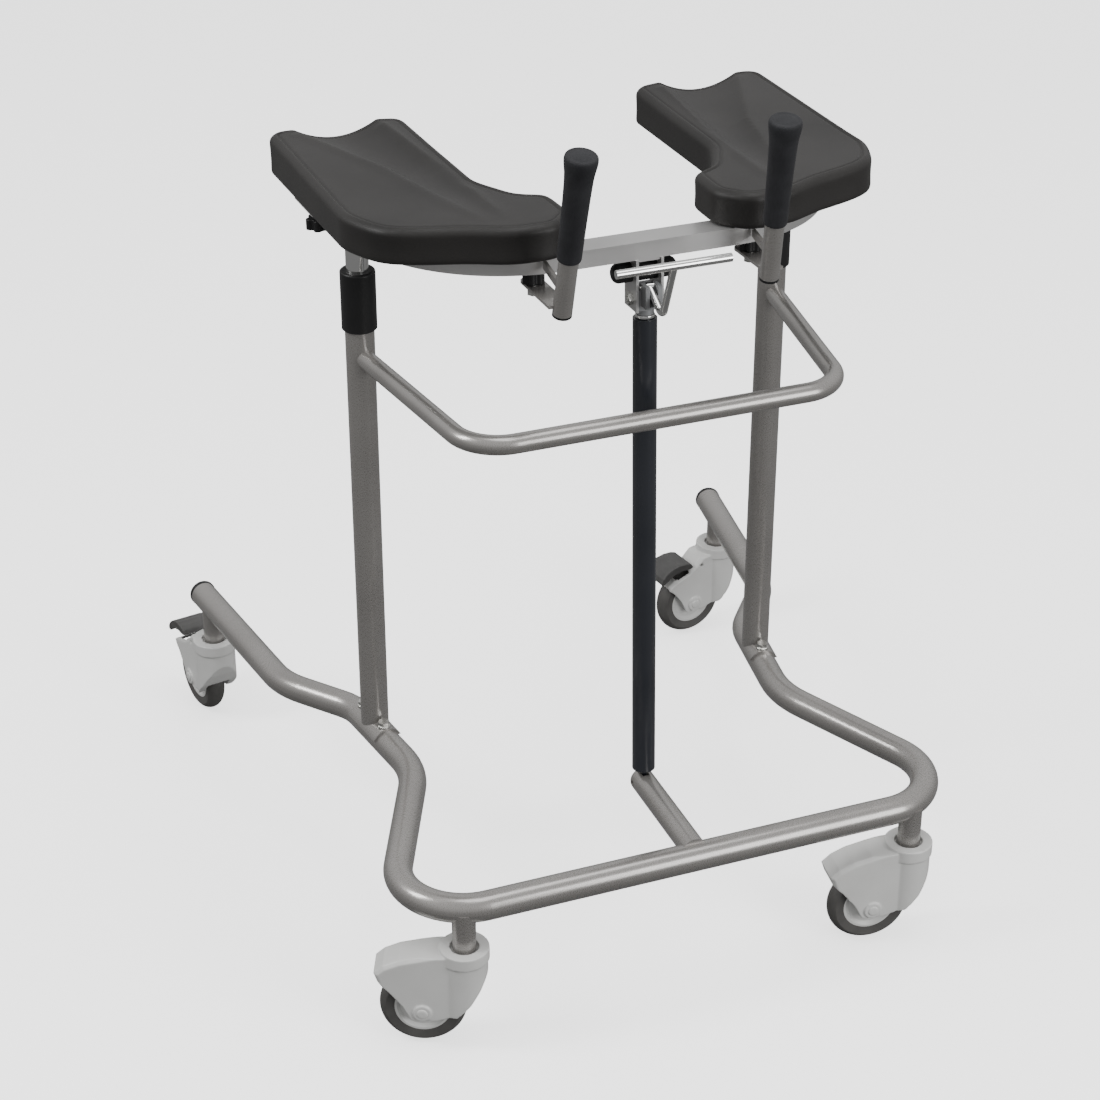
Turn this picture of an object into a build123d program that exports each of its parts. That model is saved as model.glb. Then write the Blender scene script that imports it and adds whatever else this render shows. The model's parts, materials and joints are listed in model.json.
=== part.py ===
from build123d import *
from math import atan2, cos, degrees, radians, sin, sqrt
import os

os.makedirs("parts", exist_ok=True)

# Forearm-support walking frame. Millimetres, +Z up, +X to the right, the user walks toward -Y.
# COLUMN_Y puts the middle of the whole box over the origin.
COLUMN_Y = -26.0
FIT = 0.05

# ---- base frame
TUBE_D = 35.0
TUBE_WALL = 2.0
TUBE_Z = 184.0
REAR_END = (384.1, 412.0)
REAR_BEND = (345.7, 146.0)
WAIST_REAR = (276.5, 57.0)
WAIST_FRONT = (250.6, -110.7)
FRONT_CORNER = (381.0, -399.4)
REAR_BEND_R = 110.0
WAIST_REAR_R = 68.0
WAIST_FRONT_R = 120.0
FRONT_R = 78.0
CAP_LIP = 3.5

# ---- spring stub
STUB_D = 30.0
STUB_Z = 194.0
STUB_END_Y = -233.0
STUB_SLOT = 9.0
STUB_PIN_D = 8.0

# ---- columns
COLUMN_X = 266.5
COLUMN_D = 35.0
COLUMN_TOP = 806.0
COLLAR_D = 42.0
COLLAR_BOTTOM = 743.0
COLLAR_TOP = 817.0
INNER_D = 27.0
INNER_WALL = 2.0
INNER_BOTTOM = 316.0
INNER_PLAY = 0.08

# ---- foot saddles
SADDLE_T = 3.0
SADDLE_LEN = 74.0
SADDLE_HALF_W = 18.0
SADDLE_R = TUBE_D / 2 + FIT + SADDLE_T
FOOT_BOLT_SPAN = 28.0
FOOT_BOLT_D = 8.0

# ---- middle U-bar
U_D = 23.0
U_CORNER = (225.8, -282.0)
U_Z = 708.0
U_R = 55.0

# ---- top frame (leans back by TOP_TILT)
TOP_TILT = 2.6
TOP_AXIS_Y = -214.5
TOP_Z = 890.0
BAR_DEEP = 34.5
BAR_HIGH = 20.5
BAR_WALL = 2.0
ARM_X = 264.0
ARM_BEND_R = 164.0
ARM_LEN = 297.0
LUG_X = 316.0
LUG_V = (216.0, 298.0)
LUG_T = 4.0
PAD_PIVOT = (303.0, 283.0)
PAD_KNOB = (303.0, 233.0)

# ---- arm pads, plan points from the crossbar axis
PAD_OUTLINE = [
    (150, 390), (321, 390), (321, 84), (297, 25), (254, 4),
    (210, -10), (166, -35), (112, -35), (84, -2), (86, 64), (118, 80), (145, 140),
]
PAD_ROUNDS = [18, 22, 60, 38, 60, 60, 40, 24, 26, 14, 24, 60]
PAD_REAR_H = 49.0
PAD_FRONT_H = 42.0
PAD_EDGE_R = 9.0
TROUGH_X = 236.5
TROUGH_DEEP = 15.0
PLATE_T = 5.0
PLATE_INSET = 16.0
SOFT_GAP = 0.3
TOP_REAR = 420.0
TOP_KNEE = 130.0
TROUGH_R_REAR = 121.6
TROUGH_R_FRONT = 170.0
TROUGH_DRIFT = 22.0

# ---- handles
HANDLE_D = 22.0
HANDLE_WALL = 2.0
HANDLE_FOOT = (125.0, -282.5, 858.0)
HANDLE_LEN = 192.0
HANDLE_SET = {"left": (12.8, 1.1, -4.5), "right": (10.2, 1.8, 4.5)}
GRIP_FROM = 69.5
CLAMP_X = 130.6
CLAMP_BOLT_D = 8.0
CLAMP_KNOB_D = 26.0
CLAMP_PLATE_T = 3.5
CLAMP_PLATE_TOP = -24.8
PLATE_REAR = 20.0
CLAMP_SLOT = 27.0
BRACE_T = 4.0
BRACE_END = -20.0
CLAMP_PLATE_W = 24.0

# ---- gas spring and release
SPRING_TOP = (-221.5, 831.5)
SPRING_FOOT = (-246.0, 194.0)
COVER_D = 28.0
COVER_BORE = 25.0
CYL_D = 20.0
ROD_D = 8.0
BRACKET_IN = 13.6
BRACKET_T = 3.0
PALM_D = 23.0
PALM_LEN = 77.0
PALM_POS = (-215.8, 861.0)
PIVOT_BOLT_D = 8.0
LEVER_D = 9.0
LEVER_PIN_D = 5.0
LEVER_START = (-233.0, 847.0)
LEVER_LOW = (-271.5, 827.0)
LEVER_TOP = (-299.0, 898.0)
T_BAR_D = 10.0
T_BAR_LEN = 136.0

# ---- casters
WHEEL_D = 103.0
WHEEL_W = 25.0
TREAD_EDGE = 44.0
HUB_D = 67.0
TRAIL = 49.0
SOCKET_D = 28.0
SOCKET_BOTTOM = 131.0
STEM_D = 12.0
STEM_TOP = 162.0
STEM_BOTTOM = 108.0
FORK_TOP = 134.0
RING_D = 59.0
RING_BOTTOM = 118.0
CROWN_FROM = 94.0
FORK_HALF_W = 22.0
ARCH_HALF_W = 16.5
ARCH_R = 56.0
AXLE_D = 8.0
CASTERS = {
    "front_left": (-289.0, -399.4, 157.0),
    "front_right": (289.0, -399.4, 172.0),
    "rear_left": (-382.0, 375.4, 100.0),
    "rear_right": (382.0, 375.4, 190.0),
}
PEDAL_PIVOT = (38.0, 113.0)
PEDAL_PIN_D = 5.0
PEDAL_HALF_W = 22.4
PEDAL_EAR_IN = 20.3
REAR_HALF_W = 20.0
NECK_D = 55.0
# side profiles, (distance along the trail from the stem, height)
FORK_BACK = [(-29, 120), (-27.5, 100), (-20, 84), (-9, 66), (8, 47), (34, 39), (62, 40), (72, 60)]
FRONT_HOOD = [(89, 82), (101, 94), (105, 106), (94, 116), (76, 124), (52, 129.5), (0, 131)]
REAR_HOOD = [(84, 76), (93, 84), (95, 90), (82, 98), (62, 105), (50, 113), (40, 123), (0, 128)]
NOSE_HOLLOW = [(49, 51.5), (99, 80), (94, 89), (80, 99), (49, 99)]
PEDAL_TOP = [(54, 117), (58, 124), (76, 126), (92, 122), (104, 112), (110, 100)]
PEDAL_UNDER = [(103, 98), (97, 106), (88, 112), (75, 115), (60, 114)]
PEDAL_EAR = [(33, 109), (41, 107), (60, 113), (75, 116), (76, 124), (58, 122), (40, 119), (33, 117)]
SIDES = {"left": -1, "right": 1}


def world(x, y, z):
    """A point measured from the columns, moved to the box-centred frame."""
    return Vector(x, COLUMN_Y + y, z)


def along_x(y, z):
    """A plane across the walker through (y, z), normal along +X."""
    return Plane(origin=world(0, y, z), x_dir=(0, 1, 0), z_dir=(1, 0, 0))


def both_sides(points):
    """Left-hand run of plan points followed by the mirrored right-hand run."""
    left = [(-x, COLUMN_Y + y) for x, y in points]
    right = [(x, COLUMN_Y + y) for x, y in reversed(points)]
    return left + right


def publish(piece, name):
    """Label one finished piece and write it out."""
    piece.part.label = name
    export_step(piece.part, "parts/" + name + ".step")


TILT = radians(TOP_TILT)
TOP = Plane(
    origin=world(0, TOP_AXIS_Y, TOP_Z),
    x_dir=(1, 0, 0),
    z_dir=(0, sin(TILT), cos(TILT)),
)
SPRING_DIR = (
    Vector(0, SPRING_TOP[0], SPRING_TOP[1]) - Vector(0, SPRING_FOOT[0], SPRING_FOOT[1])
).normalized()
SPRING_LEN = sqrt(
    (SPRING_TOP[0] - SPRING_FOOT[0]) ** 2 + (SPRING_TOP[1] - SPRING_FOOT[1]) ** 2
)
SPRING = Plane(
    origin=world(0, *SPRING_TOP),
    x_dir=(1, 0, 0),
    z_dir=(SPRING_DIR.X, SPRING_DIR.Y, SPRING_DIR.Z),
)


def tube_line_x(y):
    """Where the base tube axis crosses plan depth y, right-hand side."""
    share = (y - WAIST_FRONT[1]) / (WAIST_REAR[1] - WAIST_FRONT[1])
    return WAIST_FRONT[0] + share * (WAIST_REAR[0] - WAIST_FRONT[0])


WAIST_DIR = Vector(
    WAIST_REAR[0] - WAIST_FRONT[0], WAIST_REAR[1] - WAIST_FRONT[1], 0
).normalized()


def waist_plane(side, back=0.0):
    """Plane square to the base tube at the column, normal toward the rear."""
    direction = Vector(side * WAIST_DIR.X, WAIST_DIR.Y, 0)
    start = world(side * tube_line_x(0), 0, TUBE_Z) - direction * back
    return Plane(origin=start, x_dir=(direction.Y, -direction.X, 0), z_dir=direction)


# =============================================================== base frame
BASE_RUN = [REAR_END, REAR_BEND, WAIST_REAR, WAIST_FRONT, FRONT_CORNER]
BASE_RADII = [None, REAR_BEND_R, WAIST_REAR_R, WAIST_FRONT_R, FRONT_R]
with BuildLine(Plane.XY.offset(TUBE_Z)) as base_run:
    Polyline(*both_sides(BASE_RUN))
    for corner, radius in zip(BASE_RUN[1:], BASE_RADII[1:]):
        for side in (-1, 1):
            spot = world(side * corner[0], corner[1], TUBE_Z)
            fillet(base_run.vertices().sort_by_distance(spot)[0], radius)

with BuildPart() as base_frame:
    with BuildSketch(Plane(origin=base_run.line @ 0, z_dir=base_run.line % 0)):
        Circle(TUBE_D / 2)
        Circle(TUBE_D / 2 - TUBE_WALL, mode=Mode.SUBTRACT)
    sweep(path=base_run.line)
    for side in (-1, 1):
        for step in (-FOOT_BOLT_SPAN, FOOT_BOLT_SPAN):
            hole_at = waist_plane(side, step).origin
            with BuildSketch(Plane(origin=hole_at)):
                Circle(FOOT_BOLT_D / 2 + FIT)
            extrude(amount=TUBE_D / 2 + 1, mode=Mode.SUBTRACT)
    for x, y, _ in CASTERS.values():
        with BuildSketch(Plane(origin=world(x, y, TUBE_Z))):
            Circle(STEM_D / 2 + FIT)
        extrude(amount=-TUBE_D, mode=Mode.SUBTRACT)
publish(base_frame, "base_frame")

with BuildPart() as rear_end_caps:
    for end in (0, 1):
        outward = (base_run.line % end) * (1 if end else -1)
        with BuildSketch(Plane(origin=base_run.line @ end, z_dir=outward)):
            Circle(TUBE_D / 2)
        extrude(amount=CAP_LIP)
        with BuildSketch(Plane(origin=base_run.line @ end, z_dir=outward)):
            Circle(TUBE_D / 2 - TUBE_WALL - FIT)
        extrude(amount=-14)
publish(rear_end_caps, "rear_end_caps")

CROSS_Y = FRONT_CORNER[1]
with BuildPart() as spring_stub:
    with BuildSketch(Plane(origin=world(0, CROSS_Y, STUB_Z), x_dir=(1, 0, 0), z_dir=(0, 1, 0))):
        Circle(STUB_D / 2)
    extrude(amount=STUB_END_Y - CROSS_Y)
    fillet(spring_stub.edges().sort_by(Axis.Y)[-1], 9.0)
    with BuildSketch(along_x(CROSS_Y, TUBE_Z)):
        Circle(TUBE_D / 2 + FIT)
    extrude(amount=STUB_D, both=True, mode=Mode.SUBTRACT)
    with BuildSketch(Plane(origin=world(0, SPRING_FOOT[0], STUB_Z - 12))):
        with Locations((0, 8)):
            Rectangle(STUB_SLOT, 34)
    extrude(amount=STUB_D, mode=Mode.SUBTRACT)
    with BuildSketch(along_x(*SPRING_FOOT)):
        Circle(STUB_PIN_D / 2 + FIT)
    extrude(amount=STUB_D, both=True, mode=Mode.SUBTRACT)
publish(spring_stub, "spring_stub")

with BuildPart() as stub_pin:
    with BuildSketch(along_x(*SPRING_FOOT)):
        Circle(STUB_PIN_D / 2)
    extrude(amount=STUB_D / 2 - 2, both=True)
publish(stub_pin, "stub_pin")

with BuildPart() as caster_sockets:
    for x, y, _ in CASTERS.values():
        with BuildSketch(Plane(origin=world(x, y, SOCKET_BOTTOM))):
            Circle(SOCKET_D / 2)
            Circle(STEM_D / 2 + FIT, mode=Mode.SUBTRACT)
        extrude(amount=TUBE_Z - SOCKET_BOTTOM)
    with BuildSketch(Plane(origin=base_run.line @ 0, z_dir=base_run.line % 0)):
        Circle(TUBE_D / 2 + FIT)
    sweep(path=base_run.line, mode=Mode.SUBTRACT)
publish(caster_sockets, "caster_sockets")

with BuildPart() as caster_stems:
    for x, y, _ in CASTERS.values():
        with BuildSketch(Plane(origin=world(x, y, STEM_BOTTOM))):
            Circle(STEM_D / 2)
        extrude(amount=STEM_TOP - STEM_BOTTOM)
publish(caster_stems, "caster_stems")

# =============================================================== columns
with BuildPart() as columns:
    for side in (-1, 1):
        with BuildSketch(Plane(origin=world(side * COLUMN_X, 0, TUBE_Z))):
            Circle(COLUMN_D / 2)
            Circle(COLUMN_D / 2 - TUBE_WALL, mode=Mode.SUBTRACT)
        extrude(amount=COLUMN_TOP - TUBE_Z)
        with BuildSketch(waist_plane(side, SADDLE_LEN)):
            Circle(SADDLE_R + 2 * FIT)
        extrude(amount=2 * SADDLE_LEN, mode=Mode.SUBTRACT)
publish(columns, "columns")

with BuildPart() as foot_plates:
    for side in (-1, 1):
        with BuildSketch(waist_plane(side, SADDLE_LEN / 2)):
            Circle(SADDLE_R)
        extrude(amount=SADDLE_LEN)
        with BuildSketch(waist_plane(side, SADDLE_LEN)):
            Circle(TUBE_D / 2 + FIT)
        extrude(amount=2 * SADDLE_LEN, mode=Mode.SUBTRACT)
        foot = waist_plane(side)
        with BuildSketch(Plane(origin=world(side * tube_line_x(0), 0, TUBE_Z + 8),
                               x_dir=foot.x_dir, z_dir=(0, 0, 1))):
            Rectangle(4 * SADDLE_HALF_W, 2 * SADDLE_LEN)
        extrude(amount=-TUBE_D * 2, mode=Mode.SUBTRACT)
        for step in (-FOOT_BOLT_SPAN, FOOT_BOLT_SPAN):
            with BuildSketch(Plane(origin=waist_plane(side, step).origin)):
                Circle(FOOT_BOLT_D / 2 + FIT)
            extrude(amount=TUBE_D, mode=Mode.SUBTRACT)
publish(foot_plates, "foot_plates")

with BuildPart() as foot_bolts:
    for side in (-1, 1):
        for step in (-FOOT_BOLT_SPAN, FOOT_BOLT_SPAN):
            seat = waist_plane(side, step).origin + Vector(0, 0, TUBE_D / 2 + SADDLE_T)
            with BuildSketch(Plane(origin=seat - Vector(0, 0, 4))):
                Circle(FOOT_BOLT_D)
            extrude(amount=5.5)
            with BuildSketch(Plane(origin=seat)):
                RegularPolygon(6.5, 6, major_radius=False)
            extrude(amount=7.0)
        with BuildSketch(waist_plane(side, SADDLE_LEN)):
            Circle(SADDLE_R + 2 * FIT)
        extrude(amount=2 * SADDLE_LEN, mode=Mode.SUBTRACT)
        for step in (-FOOT_BOLT_SPAN, FOOT_BOLT_SPAN):
            with BuildSketch(Plane(origin=waist_plane(side, step).origin + Vector(0, 0, 12))):
                Circle(FOOT_BOLT_D / 2)
            extrude(amount=TUBE_D / 2 - 6)
publish(foot_bolts, "foot_bolts")

with BuildPart() as column_collars:
    for side in (-1, 1):
        with BuildSketch(Plane(origin=world(side * COLUMN_X, 0, COLLAR_BOTTOM))):
            Circle(COLLAR_D / 2)
        extrude(amount=COLLAR_TOP - COLLAR_BOTTOM)
    fillet(column_collars.edges().group_by(Axis.Z)[-1], 3.0)
    chamfer(column_collars.edges().group_by(Axis.Z)[0], 1.0)
    for side in (-1, 1):
        with BuildSketch(Plane(origin=world(side * COLUMN_X, 0, COLLAR_BOTTOM))):
            Circle(COLUMN_D / 2 + FIT)
        extrude(amount=COLUMN_TOP - COLLAR_BOTTOM + FIT, mode=Mode.SUBTRACT)
        with BuildSketch(Plane(origin=world(side * COLUMN_X, 0, COLLAR_BOTTOM))):
            Circle(INNER_D / 2 + INNER_PLAY)
        extrude(amount=COLLAR_TOP - COLLAR_BOTTOM, mode=Mode.SUBTRACT)
publish(column_collars, "column_collars")

with BuildLine(Plane.XY.offset(U_Z)) as u_run:
    FilletPolyline(*both_sides([(COLUMN_X, 0), U_CORNER]), radius=U_R)
with BuildPart() as u_bar:
    with BuildSketch(Plane(origin=u_run.line @ 0, z_dir=u_run.line % 0)):
        Circle(U_D / 2)
        Circle(U_D / 2 - TUBE_WALL, mode=Mode.SUBTRACT)
    sweep(path=u_run.line)
    for side in (-1, 1):
        with BuildSketch(Plane(origin=world(side * COLUMN_X, 0, U_Z - U_D))):
            Circle(COLUMN_D / 2 + FIT)
        extrude(amount=2 * U_D, mode=Mode.SUBTRACT)
publish(u_bar, "u_bar")

# =============================================================== top frame
with BuildPart() as inner_tubes:
    for side in (-1, 1):
        with BuildSketch(Plane(origin=world(side * COLUMN_X, 0, INNER_BOTTOM))):
            Circle(INNER_D / 2)
            Circle(INNER_D / 2 - INNER_WALL, mode=Mode.SUBTRACT)
        extrude(amount=TOP_Z - INNER_BOTTOM)
    with BuildSketch(TOP.offset(-BAR_HIGH / 2 - FIT)):
        Rectangle(3 * ARM_X, 4 * ARM_X)
    extrude(amount=BAR_HIGH * 3, mode=Mode.SUBTRACT)
publish(inner_tubes, "inner_tubes")

with BuildLine(TOP) as top_run:
    FilletPolyline(
        (-ARM_X, ARM_LEN), (-ARM_X, 0), (ARM_X, 0), (ARM_X, ARM_LEN), radius=ARM_BEND_R
    )
with BuildPart() as top_frame:
    with BuildSketch(Plane(origin=top_run.line @ 0, x_dir=TOP.x_dir, z_dir=top_run.line % 0)):
        Rectangle(BAR_DEEP, BAR_HIGH)
        Rectangle(BAR_DEEP - 2 * BAR_WALL, BAR_HIGH - 2 * BAR_WALL, mode=Mode.SUBTRACT)
    sweep(path=top_run.line)
    with BuildSketch(TOP.offset(BAR_HIGH / 2 - LUG_T)):
        for side in (-1, 1):
            lug_in = ARM_X + BAR_DEEP / 2
            with Locations((side * (lug_in + LUG_X) / 2, (LUG_V[0] + LUG_V[1]) / 2)):
                RectangleRounded(LUG_X - lug_in, LUG_V[1] - LUG_V[0], 8)
            with Locations((side * (lug_in + 4.5), (LUG_V[0] + LUG_V[1]) / 2)):
                Rectangle(9, LUG_V[1] - LUG_V[0])
    extrude(amount=LUG_T)
    with BuildSketch(TOP):
        for side in (-1, 1):
            with Locations((side * PAD_PIVOT[0], PAD_PIVOT[1])):
                Circle(FOOT_BOLT_D / 2 + FIT)
            with Locations((side * PAD_KNOB[0], PAD_KNOB[1])):
                SlotOverall(20, 9.6)
    extrude(amount=BAR_HIGH, mode=Mode.SUBTRACT)
    with BuildSketch(TOP):
        for side in (-1, 1):
            with Locations((side * CLAMP_X, 0)):
                Circle(CLAMP_BOLT_D / 2 + FIT)
    extrude(amount=-BAR_HIGH, mode=Mode.SUBTRACT)
publish(top_frame, "top_frame")

with BuildPart() as top_frame_caps:
    for end in (0, 1):
        outward = (top_run.line % end) * (1 if end else -1)
        with BuildSketch(Plane(origin=top_run.line @ end, x_dir=TOP.x_dir, z_dir=outward)):
            Rectangle(BAR_DEEP, BAR_HIGH)
        extrude(amount=2.5)
        with BuildSketch(Plane(origin=top_run.line @ end, x_dir=TOP.x_dir, z_dir=outward)):
            Rectangle(BAR_DEEP - 2 * BAR_WALL - 2 * FIT, BAR_HIGH - 2 * BAR_WALL - 2 * FIT)
        extrude(amount=-12)
publish(top_frame_caps, "top_frame_caps")

pivot_local = TOP.to_local_coords(world(0, *SPRING_TOP))
palm_local = TOP.to_local_coords(world(0, *PALM_POS))
with BuildPart() as spring_bracket:
    with BuildSketch(TOP.offset(-BAR_HIGH / 2 - FIT)):
        Rectangle(2 * (BRACKET_IN + BRACKET_T), 32)
    extrude(amount=-BRACKET_T)
    for side in (-1, 1):
        middle = side * (BRACKET_IN + BRACKET_T / 2)
        with BuildSketch(TOP.offset(-BAR_HIGH / 2 - FIT)):
            with Locations((middle, (pivot_local.Y) / 2)):
                Rectangle(BRACKET_T, 34)
        extrude(amount=pivot_local.Z + BAR_HIGH / 2 - 13)
    with BuildSketch(along_x(*SPRING_TOP)):
        Circle(PIVOT_BOLT_D / 2 + FIT)
    extrude(amount=40, both=True, mode=Mode.SUBTRACT)
    with BuildSketch(along_x(*PALM_POS)):
        Circle(PALM_D / 2 + FIT)
    extrude(amount=40, both=True, mode=Mode.SUBTRACT)
publish(spring_bracket, "spring_bracket")

with BuildPart() as palm_grip:
    with BuildSketch(along_x(*PALM_POS)):
        Circle(PALM_D / 2)
    extrude(amount=PALM_LEN / 2, both=True)
    fillet(palm_grip.edges().filter_by(GeomType.CIRCLE), 8.0)
publish(palm_grip, "palm_grip")

with BuildPart() as pivot_bolt:
    with BuildSketch(along_x(*SPRING_TOP)):
        Circle(PIVOT_BOLT_D / 2)
    extrude(amount=BRACKET_IN + BRACKET_T + 6, both=True)
    for side in (-1, 1):
        face = Plane(
            origin=world(side * (BRACKET_IN + BRACKET_T + 2 * FIT), *SPRING_TOP),
            x_dir=(0, 1, 0),
            z_dir=(side, 0, 0),
        )
        with BuildSketch(face):
            RegularPolygon(6.5, 6, major_radius=False)
        extrude(amount=5)
publish(pivot_bolt, "pivot_bolt")

with BuildPart() as pad_pivot_bolts:
    for side in (-1, 1):
        with BuildSketch(TOP.offset(BAR_HIGH / 2 - LUG_T - FIT)):
            with Locations((side * PAD_PIVOT[0], PAD_PIVOT[1])):
                RegularPolygon(6.5, 6, major_radius=False)
        extrude(amount=-8)
        with BuildSketch(TOP.offset(BAR_HIGH / 2 - LUG_T - 1)):
            with Locations((side * PAD_PIVOT[0], PAD_PIVOT[1])):
                Circle(FOOT_BOLT_D / 2)
        extrude(amount=LUG_T + PLATE_T)
publish(pad_pivot_bolts, "pad_pivot_bolts")

with BuildPart() as clamp_bolts:
    for side in (-1, 1):
        with BuildSketch(TOP.offset(-BAR_HIGH / 2 + BAR_WALL + FIT)):
            with Locations((side * CLAMP_X, 0)):
                Circle(7)
        extrude(amount=4)
        with BuildSketch(TOP.offset(-BAR_HIGH / 2 + BAR_WALL + 1)):
            with Locations((side * CLAMP_X, 0)):
                Circle(CLAMP_BOLT_D / 2)
        extrude(amount=-30)
        with BuildSketch(TOP.offset(-29.0)):
            with Locations((side * CLAMP_X, 0)):
                RegularPolygon(6.5, 6, major_radius=False)
        extrude(amount=-9)
publish(clamp_bolts, "clamp_bolts")

# =============================================================== gas spring
with BuildPart() as gas_cylinder:
    with BuildSketch(along_x(*SPRING_FOOT)):
        Circle(8)
    extrude(amount=STUB_SLOT / 2 - 0.4, both=True)
    with BuildSketch(SPRING.offset(-SPRING_LEN + 4)):
        Circle(4)
    extrude(amount=28)
    with BuildSketch(SPRING.offset(-SPRING_LEN + 30)):
        Circle(CYL_D / 2)
    extrude(amount=386)
    with BuildSketch(SPRING.offset(-SPRING_LEN + 34)):
        Circle(CYL_D / 2 - 2)
    extrude(amount=376, mode=Mode.SUBTRACT)
    with BuildSketch(SPRING.offset(-SPRING_LEN + 400)):
        Circle(6.5)
    extrude(amount=30, mode=Mode.SUBTRACT)
    with BuildSketch(along_x(*SPRING_FOOT)):
        Circle(STUB_PIN_D / 2 + FIT)
    extrude(amount=STUB_D, both=True, mode=Mode.SUBTRACT)
publish(gas_cylinder, "gas_cylinder")

with BuildPart() as cover_tube:
    with BuildSketch(SPRING.offset(-25)):
        Circle(COVER_D / 2)
    extrude(amount=-593)
    chamfer(cover_tube.edges().sort_by(Axis.Z)[0], 1.2)
    with BuildSketch(SPRING.offset(-33)):
        Circle(COVER_BORE / 2)
    extrude(amount=-600, mode=Mode.SUBTRACT)
    with BuildSketch(SPRING.offset(-20)):
        Circle(ROD_D / 2 + FIT)
    extrude(amount=-30, mode=Mode.SUBTRACT)
publish(cover_tube, "cover_tube")

with BuildPart() as piston_rod:
    with BuildSketch(SPRING.offset(-12)):
        Circle(ROD_D / 2)
    extrude(amount=-SPRING_LEN + 12 + 46)
publish(piston_rod, "piston_rod")

with BuildPart() as ring_nut:
    with BuildSketch(SPRING.offset(-25 + FIT)):
        Circle(11.5)
        Circle(ROD_D / 2 + FIT, mode=Mode.SUBTRACT)
    extrude(amount=5)
    fillet(ring_nut.edges().filter_by(GeomType.CIRCLE).sort_by(SortBy.LENGTH)[-2:], 1.5)
publish(ring_nut, "ring_nut")

head_y = BRACKET_IN - 0.4
with BuildPart() as release_head:
    with BuildSketch(SPRING.offset(-19.9)):
        Circle(10.5)
    extrude(amount=12)
    with BuildSketch(SPRING.offset(-12)):
        Rectangle(2 * head_y, 27)
    extrude(amount=25)
    with BuildSketch(SPRING.offset(-6)):
        with Locations((0, -17)):
            Rectangle(20, 18)
    extrude(amount=26)
    with BuildSketch(SPRING.offset(-4)):
        with Locations((0, -20)):
            Rectangle(LEVER_D + 1.0, 28)
    extrude(amount=40, mode=Mode.SUBTRACT)
    with BuildSketch(SPRING.offset(-25)):
        Circle(ROD_D / 2 + FIT)
    extrude(amount=13.2, mode=Mode.SUBTRACT)
    with BuildSketch(along_x(*SPRING_TOP)):
        Circle(PIVOT_BOLT_D / 2 + FIT)
    extrude(amount=40, both=True, mode=Mode.SUBTRACT)
    with BuildSketch(along_x(*LEVER_START)):
        Circle(LEVER_PIN_D / 2 + FIT)
    extrude(amount=40, both=True, mode=Mode.SUBTRACT)
publish(release_head, "release_head")

with BuildPart() as lever_pin:
    with BuildSketch(along_x(*LEVER_START)):
        Circle(LEVER_PIN_D / 2)
    extrude(amount=12, both=True)
publish(lever_pin, "lever_pin")

with BuildLine() as lever_run:
    FilletPolyline(
        world(0, LEVER_START[0] - 2, LEVER_START[1] - 0.6),
        world(0, *LEVER_LOW),
        world(0, LEVER_TOP[0], LEVER_TOP[1] - 1),
        radius=9,
    )
with BuildPart() as release_lever:
    with BuildSketch(Plane(origin=lever_run.line @ 0, x_dir=(1, 0, 0), z_dir=lever_run.line % 0)):
        Circle(LEVER_D / 2 - 0.2)
    sweep(path=lever_run.line)
    with BuildSketch(along_x(*LEVER_START)):
        Circle(5.5)
    extrude(amount=LEVER_D / 2 - 0.2, both=True)
    with BuildSketch(along_x(*LEVER_TOP)):
        Circle(T_BAR_D / 2)
    extrude(amount=T_BAR_LEN / 2, both=True)
    with BuildSketch(along_x(*LEVER_START)):
        Circle(LEVER_PIN_D / 2 + FIT)
    extrude(amount=20, both=True, mode=Mode.SUBTRACT)
publish(release_lever, "release_lever")

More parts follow.
